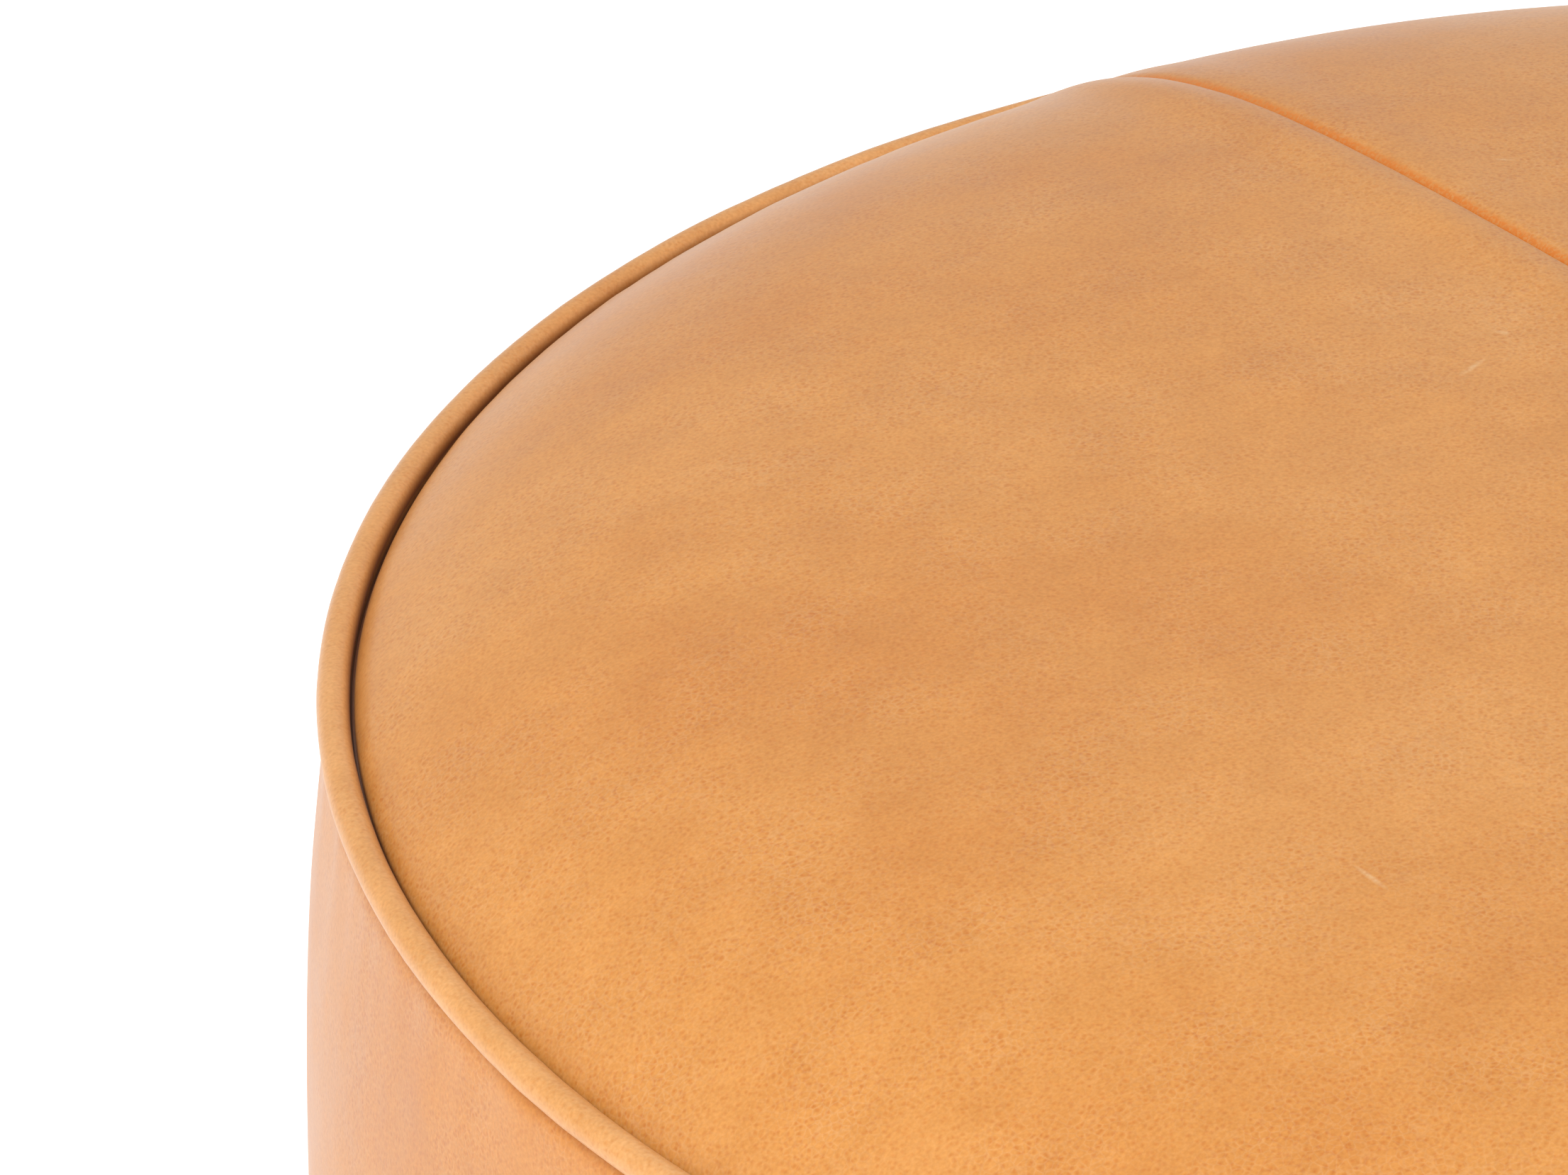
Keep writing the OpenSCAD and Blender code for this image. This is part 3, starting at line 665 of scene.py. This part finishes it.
def side_panel(index):
    """One panel of the band: it rolls in at both rims and at its two upright seams."""
    start = SIDE_SEAM_TURN + index * 2 * math.pi / SIDE_COUNT + SEAM_GAP / RIM_R
    sweep = 2 * math.pi / SIDE_COUNT - 2 * SEAM_GAP / RIM_R
    length = sweep * RIM_R
    edge = [0, 0.3, 0.8, 1.4, 2.1, 3, 4, 5.2, 6.6, 8.2, 10]
    middle_count = 290
    inner = [10 + (length / MM - 20) * i / middle_count for i in range(1, middle_count)]
    stops = [e * MM for e in edge + inner] + [length - e * MM for e in reversed(edge)]
    rows = [0, 0.3, 0.8, 1.4, 2.1, 3, 4, 5.2, 6.6, 8.2, 10.2, 12.6, 15.4]
    top_edge, foot_edge = TOP_Z - 3.4 * MM, BOTTOM_Z + 3.4 * MM
    rise = top_edge - foot_edge
    middle_rows = 84
    inner_rows = [15.4 + (rise / MM - 30.8) * i / middle_rows for i in range(1, middle_rows)]
    drops = [r * MM for r in rows + inner_rows] + [rise - r * MM for r in reversed(rows)]
    seed = 20.0 + 7 * index

    def point(along, drop, inward=0, seam_inward=0):
        turn = start + along / RIM_R
        z = top_edge - drop
        rim_d, seam_d = min(drop, rise - drop), min(along, length - along)
        place = (math.cos(turn) * RIM_R, math.sin(turn) * RIM_R, z)
        r = band_radius(z)
        r -= roll_over(rim_d, 4.5 * MM, 2.6 * MM)
        r -= roll_over(seam_d, 3.2 * MM, 2.2 * MM)
        r += 0.7 * MM * math.exp(-((seam_d - 8 * MM) / (7 * MM)) ** 2) * smoothstep(rim_d / (20 * MM))
        r += rim_pucker(turn, rim_d, 0.7 * MM, 16 * MM) * smoothstep(rim_d / (3 * MM))
        r += 1.3 * MM * wander(place, 0.11, seed) * smoothstep(min(rim_d, seam_d) / (40 * MM)) - 0.2 * MM
        r -= inward + seam_inward
        return (math.cos(turn) * r, math.sin(turn) * r, z)

    columns = [(stops[0], 4 * MM), (stops[0], 2 * MM)] + [(s, 0) for s in stops] \
        + [(stops[-1], 2 * MM), (stops[-1], 4 * MM)]
    levels = [(drops[0], 8 * MM, -2 * MM), (drops[0], 4 * MM, 0.5 * MM), (drops[0], 1.5 * MM, 0.4 * MM)] \
        + [(d, 0, 0) for d in drops] \
        + [(drops[-1], 1.5 * MM, -0.4 * MM), (drops[-1], 4 * MM, -0.5 * MM), (drops[-1], 8 * MM, 2 * MM)]
    verts = []
    for drop, inward, lift in levels:
        for along, seam_inward in columns:
            x, y, z = point(along, drop, inward, seam_inward)
            verts.append((x, y, z + lift))
    width = len(columns)
    faces = [(i * width + j, i * width + j + 1, (i + 1) * width + j + 1, (i + 1) * width + j)
             for i in range(len(levels) - 1) for j in range(width - 1)]
    piece = mesh_object(f"band_leather_{index + 1}", verts, faces)
    middle = piece.data.polygons[len(faces) // 2]
    if middle.normal.x * middle.center.x + middle.normal.y * middle.center.y < 0:
        piece.data.flip_normals()
    give_thickness(piece, LEATHER_T)
    return finish_piece(piece, "cover", SIDE_LEATHER, "leather_side", f"side_panel_{index + 1}")


for panel_index in range(SIDE_COUNT):
    side_panel(panel_index)


# ---- Base ----

def zip_edge(y):
    """Distance of a base panel's inner edge from the middle: the zip's opening, then the seam."""
    closing = smoothstep((abs(y) - ZIP_HALF) / (6 * MM))
    return ZIP_OPENING + (SEAM_GAP - ZIP_OPENING) * closing


def base_panel(side):
    seed = 41.0 if side > 0 else 47.0

    def height(x, y, seam_d, rim_d):
        z = base_height(x, y)
        z += roll_over(rim_d, 5 * MM, 3 * MM) + roll_over(seam_d, 2 * MM, 1 * MM)
        off_floor = smoothstep(z / (2 * MM))
        z += 0.3 * MM * abs(wander((side * x, y, 0), 0.05, seed)) * off_floor
        return z

    hidden = [(0.1 * MM, 0.4 * MM), (1.3 * MM, 1.6 * MM), (3.6 * MM, 3.9 * MM)]
    seam_hidden = [(0, 0.4 * MM), (0, 0.8 * MM), (0.6 * MM, 1.2 * MM)]
    name = "base_leather_right" if side > 0 else "base_leather_left"
    piece = half_disc(name, side, zip_edge, PANEL_R, height, hidden, seam_hidden)
    face_up(piece, up=False)
    give_thickness(piece, LEATHER_T)
    return finish_piece(piece, "cover", BASE_LEATHER, "leather_base",
                        "base_panel_right" if side > 0 else "base_panel_left")


base_panel(-1)
base_panel(1)


# ---- Zip ----

def repeated(name, count, pitch, place, build_one, material):
    """A row of copies of one small shape along Y, as one plain mesh. build_one adds the
    shape's own nodes to the tree and returns its geometry socket."""
    tree = bpy.data.node_groups.new(name, "GeometryNodeTree")
    tree.interface.new_socket("Geometry", in_out="OUTPUT", socket_type="NodeSocketGeometry")
    tree.interface.new_socket("Count", in_out="INPUT", socket_type="NodeSocketInt")
    tree.interface.new_socket("Pitch", in_out="INPUT", socket_type="NodeSocketFloat")
    given = add_node(tree, "NodeGroupInput").outputs
    step = add_node(tree, "ShaderNodeCombineXYZ", {"Y": given["Pitch"]})
    row = add_node(tree, "GeometryNodeMeshLine", {
        "Count": given["Count"], "Offset": step.outputs[0], "Start Location": place})
    copies = add_node(tree, "GeometryNodeInstanceOnPoints", {
        "Points": row.outputs["Mesh"], "Instance": build_one(tree)})
    solid = add_node(tree, "GeometryNodeRealizeInstances", {"Geometry": copies.outputs["Instances"]})
    smooth = add_node(tree, "GeometryNodeSetShadeSmooth", {"Geometry": solid.outputs["Geometry"]})
    dressed = add_node(tree, "GeometryNodeSetMaterial", {
        "Geometry": smooth.outputs["Geometry"], "Material": material})
    add_node(tree, "NodeGroupOutput", {"Geometry": dressed.outputs["Geometry"]})
    piece = mesh_object(name, [(0, 0, 0)], [])
    nodes = piece.modifiers.new("row", "NODES")
    nodes.node_group = tree
    sockets = {item.name: item.identifier for item in tree.interface.items_tree if item.in_out == "INPUT"}
    nodes[sockets["Count"]] = count
    nodes[sockets["Pitch"]] = pitch
    apply_modifiers(piece)
    return piece


def coil_loop(tree):
    """One turn of the zip's monofilament, leaning a little like the coil's screw."""
    ring = add_node(tree, "GeometryNodeCurvePrimitiveCircle", {"Resolution": 9, "Radius": 1})
    wire = add_node(tree, "GeometryNodeCurvePrimitiveCircle", {"Resolution": 5, "Radius": 0.3 * MM})
    shaped = add_node(tree, "GeometryNodeTransform", {
        "Geometry": ring.outputs["Curve"], "Scale": (1.0 * MM, 1.2 * MM, 1),
        "Rotation": (math.pi / 2, 0, math.radians(9))})
    return add_node(tree, "GeometryNodeCurveToMesh", {
        "Curve": shaped.outputs["Geometry"], "Profile Curve": wire.outputs["Curve"]}).outputs["Mesh"]


def stitch(tree):
    """One sewn stitch: a fat little loop of thread, sunk at both ends."""
    ball = add_node(tree, "GeometryNodeMeshUVSphere", {"Segments": 8, "Rings": 6, "Radius": 1})
    return add_node(tree, "GeometryNodeTransform", {
        "Geometry": ball.outputs["Mesh"],
        "Scale": (0.32 * MM, 1.35 * MM, 0.36 * MM)}).outputs["Geometry"]


def zip_row(name, node, x, z, pitch, build_one, material, slot):
    low, high = span(node, 1)
    count = int((high - low) / pitch)
    start = (low + high - (count - 1) * pitch) / 2
    piece = repeated(name, count, pitch, (x, start, z), build_one, material)
    return finish_piece(piece, "cover", material, slot, node)


def softened(name, node, body, slot, material, radius):
    """A CAD solid with its sharp edges rounded off, as tumbling leaves a casting's."""
    piece = bpy.data.objects.new(name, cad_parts[node].data.copy())
    piece.data.transform(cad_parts[node].matrix_world)
    bpy.context.scene.collection.objects.link(piece)
    bevel = piece.modifiers.new("round", "BEVEL")
    bevel.width = radius
    bevel.segments = 2
    bevel.limit_method = "ANGLE"
    bevel.angle_limit = math.radians(40)
    apply_modifiers(piece)
    piece.data.shade_smooth()
    return finish_piece(piece, body, material, slot, node)


coil_z = sum(span("zip_coil_left", 2)) / 2
stitch_z = RECESS_RISE - 0.1 * MM
COIL_X = 2.1 * MM
COIL_PITCH = 1.5 * MM
STITCH_X = 9 * MM
STITCH_PITCH = 3.2 * MM
for side, word in ((-1, "left"), (1, "right")):
    zip_row(f"zip_coil_turns_{word}", f"zip_coil_{word}", side * COIL_X, coil_z, COIL_PITCH,
            coil_loop, COIL, "zip_coil")
    zip_row(f"zip_stitch_row_{word}", f"zip_stitches_{word}", side * STITCH_X, stitch_z, STITCH_PITCH,
            stitch, THREAD, "thread")
softened("slider_body", "zip_slider", "zip_slider", "zip_metal", BRASS, 0.2 * MM)
softened("slider_pin", "zip_pull_pin", "zip_slider", "zip_metal", BRASS, 0.1 * MM)
softened("pull_tab", "zip_pull", "zip_pull", "zip_metal", BRASS, 0.2 * MM)
softened("end_stops", "zip_top_stops", "cover", "zip_metal", BRASS, 0.2 * MM)
softened("closed_end_stop", "zip_bottom_stop", "cover", "zip_metal", BRASS, 0.2 * MM)


# ---- Inner cushion ----

def cushion_profile():
    """(r, z) points down the calico cushion's outer face, from the middle of its top."""
    top_gap = CROWN_TOP - span("liner_top", 2)[1]
    side_gap = RIM_R + BAND_BULGE - span("liner_side", 0)[1]
    foot = span("liner_base", 2)[0]
    top_round, foot_round = 70 * MM, 60 * MM
    start = 248 * MM
    slope = math.atan2(crown_height(start - MM) - crown_height(start + MM), 2 * MM)
    centre = (start - top_round * math.sin(slope),
              crown_height(start) - top_gap - top_round * math.cos(slope))
    low_centre = (band_radius(foot + foot_round) - side_gap - foot_round, foot + foot_round)
    points = [(r * MM, crown_height(r * MM) - top_gap) for r in range(8, 246, 7)]
    turn = slope
    while turn < math.radians(88):
        points.append((centre[0] + top_round * math.sin(turn), centre[1] + top_round * math.cos(turn)))
        turn += math.radians(5)
    z = centre[1] - 4 * MM
    while z > low_centre[1] + 3 * MM:
        points.append((band_radius(z) - side_gap, z))
        z -= 7 * MM
    for degrees in range(92, 181, 6):
        turn = math.radians(degrees)
        points.append((low_centre[0] + foot_round * math.sin(turn),
                       low_centre[1] + foot_round * math.cos(turn)))
    r = low_centre[0] - 7 * MM
    while r > 8 * MM:
        points.append((r, foot))
        r -= 7 * MM
    return points


def stuffed_cushion():
    """The calico cushion: blown up by its filling, gathered where its three pieces are sewn."""
    around = 240
    profile = cushion_profile()
    foot = profile[-1][1]
    shelf = span("liner_base", 2)[0] + 12.6 * MM
    verts = []
    for r, z in profile:
        for i in range(around):
            turn = 2 * math.pi * i / around
            x, y = r * math.cos(turn), r * math.sin(turn)
            recess = foot + (shelf - foot) * smoothstep((44 * MM - abs(x)) / (24 * MM))
            verts.append((x, y, max(z, recess)))
    verts += [(0, 0, profile[0][1]), (0, 0, shelf)]
    faces = [(k * around + i, (k + 1) * around + i, (k + 1) * around + (i + 1) % around,
              k * around + (i + 1) % around) for k in range(len(profile) - 1) for i in range(around)]
    last = (len(profile) - 1) * around
    faces += [((i + 1) % around, len(verts) - 2, i) for i in range(around)]
    faces += [(last + i, len(verts) - 1, last + (i + 1) % around) for i in range(around)]
    piece = mesh_object("stuffed_cushion", verts, faces)
    face_outwards(piece)
    seams = (span("liner_top", 2)[0], span("liner_side", 2)[0])
    inflate(piece, seams)
    return finish_piece(piece, "cover", CALICO, "calico", "liner_top", "liner_side", "liner_base")


def inflate(piece, seams):
    """Lets the filling press the calico out between its two held seams, then keeps only so
    much of that swelling as fits inside the leather."""
    before = [v.co.copy() for v in piece.data.vertices]
    held = piece.vertex_groups.new(name="held")
    held.add([v.index for v in piece.data.vertices if min(abs(v.co.z - z) for z in seams) < 4 * MM
              or v.co.z < 30 * MM], 1.0, "REPLACE")
    cloth = piece.modifiers.new("cloth", "CLOTH")
    cloth.settings.quality = 5
    cloth.settings.mass = 0.15
    cloth.settings.tension_stiffness = 15
    cloth.settings.compression_stiffness = 5
    cloth.settings.bending_stiffness = 0.1
    cloth.settings.shrink_min = -0.03
    cloth.settings.use_pressure = True
    cloth.settings.uniform_pressure_force = 4
    cloth.settings.effector_weights.gravity = 0
    cloth.settings.vertex_group_mass = "held"
    cloth.point_cache.frame_start = 1
    cloth.point_cache.frame_end = 20
    scene = bpy.context.scene
    for number in range(1, 21):
        scene.frame_set(number)
    apply_modifiers(piece)
    scene.frame_set(1)
    for vertex, start in zip(piece.data.vertices, before):
        move = vertex.co - start
        limit = 1.4 * MM
        if move.length > limit:
            move *= limit / move.length
        vertex.co = start + move


stuffed_cushion()


# ---- Camera, floor and light ----

def add_camera():
    """Looks down on the left side of the pouf from close by, through a long lens."""
    bearing, pitch, roll = math.radians(31.8), 0.4848, -0.0066
    forward = Vector((math.sin(bearing) * math.cos(pitch), math.cos(bearing) * math.cos(pitch),
                      -math.sin(pitch)))
    level_right = Vector((math.cos(bearing), -math.sin(bearing), 0))
    level_up = level_right.cross(forward)
    right = level_right * math.cos(roll) + level_up * math.sin(roll)
    up = level_up * math.cos(roll) - level_right * math.sin(roll)
    place = Vector((-3.1093, -3.6644, 2.5606)) * RIM_R + Vector((0, 0, TOP_Z))
    lens = bpy.data.cameras.new("camera")
    lens.lens = 193.4
    lens.sensor_width = 36
    lens.clip_start = 0.05
    lens.clip_end = 50
    camera = bpy.data.objects.new("camera", lens)
    camera.matrix_world = Matrix.Translation(place) @ Matrix(
        (right, up, -forward)).transposed().to_4x4()
    bpy.context.scene.collection.objects.link(camera)
    bpy.context.scene.camera = camera


def add_floor():
    """A white sweep, clear when it is looked at from underneath."""
    half, low = 12, -0.3 * MM
    corners = [(-half, -half, low), (half, -half, low), (half, half, low), (-half, half, low)]
    floor = mesh_object("floor", corners, [(0, 1, 2, 3)], smooth=False)
    material, tree, shader = new_material("white_floor")
    shader.inputs["Base Color"].default_value = (0.9, 0.9, 0.9, 1)
    shader.inputs["Roughness"].default_value = 0.9
    shader.inputs["Emission Color"].default_value = (1, 1, 1, 1)
    shader.inputs["Emission Strength"].default_value = 0.45
    clear = add_node(tree, "ShaderNodeBsdfTransparent")
    side_seen = add_node(tree, "ShaderNodeNewGeometry")
    either = add_node(tree, "ShaderNodeMixShader", {
        0: side_seen.outputs["Backfacing"], 1: shader.outputs[0], 2: clear.outputs[0]})
    tree.links.new(either.outputs[0], tree.nodes["Material Output"].inputs["Surface"])
    floor.data.materials.append(material)


def add_softbox(name, place, size, watts):
    light = bpy.data.lights.new(name, "AREA")
    light.shape = "RECTANGLE"
    light.size, light.size_y = size
    light.energy = watts
    lamp = bpy.data.objects.new(name, light)
    lamp.location = place
    lamp.rotation_euler = (Vector((0, 0, 0.2)) - Vector(place)).to_track_quat("-Z", "Y").to_euler()
    bpy.context.scene.collection.objects.link(lamp)


def add_surroundings():
    world = bpy.data.worlds.new("white_studio")
    world.use_nodes = True
    world.node_tree.nodes["Background"].inputs["Color"].default_value = (1, 1, 1, 1)
    world.node_tree.nodes["Background"].inputs["Strength"].default_value = 0.62
    bpy.context.scene.world = world
    bpy.context.scene.view_settings.view_transform = "Standard"
    add_softbox("key_softbox", (-1.55, -0.95, 2.3), (1.6, 1.2), 48)


add_camera()
add_floor()
add_surroundings()
